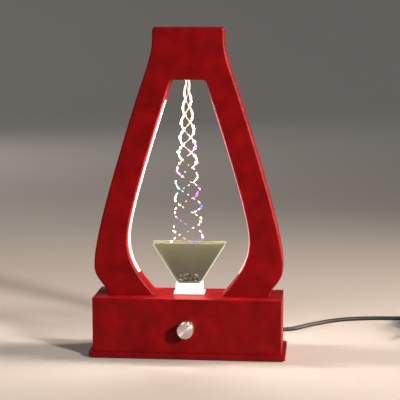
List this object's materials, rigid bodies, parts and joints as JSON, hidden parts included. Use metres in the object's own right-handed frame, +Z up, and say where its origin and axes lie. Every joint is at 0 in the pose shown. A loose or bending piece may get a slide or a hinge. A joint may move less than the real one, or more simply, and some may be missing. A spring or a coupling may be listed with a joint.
{
  "type": "anti-gravity fountain lamp",
  "caption": "Table fountain lamp: an arched red lacquered frame on a box base lights strands of water that fall from its head into a funnel.",
  "frame": {"origin": "centre of the pad that the base stands on", "axes": "+Z up, -Y the front with the knob, +X to the right seen from the front"},
  "size_m": [0.3966, 0.2132, 0.33],
  "materials": {
    "red_lacquer": "glossy lacquer over board, slightly mottled",
    "pad_foam": "matt foam",
    "screw_steel": "zinc plated",
    "led_tape": "satin flexible circuit",
    "led_chip": "phosphor under clear resin",
    "diffuser": "milky silicone",
    "acrylic": "clear acrylic with a green tint",
    "white_plastic": "moulded gloss",
    "gasket_rubber": "silicone sheet",
    "strainer_steel": "punched sheet",
    "tank_plastic": "moulded",
    "pump_plastic": "moulded",
    "magnet": "sintered",
    "hose_silicone": "translucent silicone",
    "grommet_rubber": "moulded",
    "motor_can": "drawn can",
    "water": "clear water",
    "circuit_board": "solder mask",
    "black_component": "moulded",
    "terminal_green": "moulded",
    "spun_aluminium": "spun face, turned side",
    "lead_insulation": "extruded",
    "cord_black": "extruded satin jacket",
    "plug_black": "moulded",
    "tie_fabric": "woven hook and loop",
    "plug_steel": "plated sheet"
  },
  "bodies": {
    "lamp": {"plinth_board": "red_lacquer", "front_board": "red_lacquer", "rear_board": "red_lacquer", "left_end_board": "red_lacquer", "right_end_board": "red_lacquer", "top_board": "red_lacquer", "frame_cover": "red_lacquer", "frame_body": "red_lacquer", "non_slip_pad": "pad_foam", "plinth_screws": "screw_steel", "frame_screws": "screw_steel", "leg_screws": "screw_steel", "board_screws": "screw_steel", "pump_pin": "screw_steel", "potentiometer_nut": "screw_steel", "left_led_tape": "led_tape", "right_led_tape": "led_tape", "left_led_chips": "led_chip", "right_led_chips": "led_chip", "left_diffuser": "diffuser", "right_diffuser": "diffuser", "funnel": "acrylic", "funnel_collar": "white_plastic", "spray_nozzle": "white_plastic", "board_standoffs": "white_plastic", "plug_tongue": "white_plastic", "collar_gasket": "gasket_rubber", "drain_strainer": "strainer_steel", "water_tank": "tank_plastic", "tank_lid": "tank_plastic", "pump_body": "pump_plastic", "pump_volute": "pump_plastic", "riser_hose": "hose_silicone", "nozzle_grommet": "grommet_rubber", "vibration_motor": "motor_can", "potentiometer": "motor_can", "water_strands": "water", "control_board": "circuit_board", "board_capacitor": "black_component", "driver_chip": "black_component", "terminal_block": "terminal_green", "left_led_lead": "lead_insulation", "right_led_lead": "lead_insulation", "motor_lead": "lead_insulation", "pump_lead": "lead_insulation", "supply_lead": "lead_insulation", "cord_gland": "cord_black", "power_cord": "cord_black", "cord_coil": "cord_black", "cord_tail": "cord_black", "plug_body": "plug_black", "cord_tie": "tie_fabric", "plug_shell": "plug_steel"},
    "knob": {"control_knob": "spun_aluminium", "knob_set_screw": "screw_steel", "potentiometer_shaft": "screw_steel"},
    "impeller": {"pump_impeller": "white_plastic", "rotor_magnet": "magnet"},
    "shaker": {"eccentric_weight": "motor_can", "motor_shaft": "screw_steel"}
  },
  "joints": [
    {"name": "knob_turn", "type": "hinge", "parent": "lamp", "child": "knob", "pos_m": [0, -0.036, 0.032], "axis": [0, 1, 0], "range_deg": [-150, 150]},
    {"name": "impeller_spin", "type": "hinge", "parent": "lamp", "child": "impeller", "pos_m": [-0.0577, 0.004, 0.022], "axis": [1, 0, 0], "continuous": true},
    {"name": "shaker_spin", "type": "hinge", "parent": "lamp", "child": "shaker", "pos_m": [0, 0, 0.305], "axis": [0, 1, 0], "continuous": true}
  ]
}
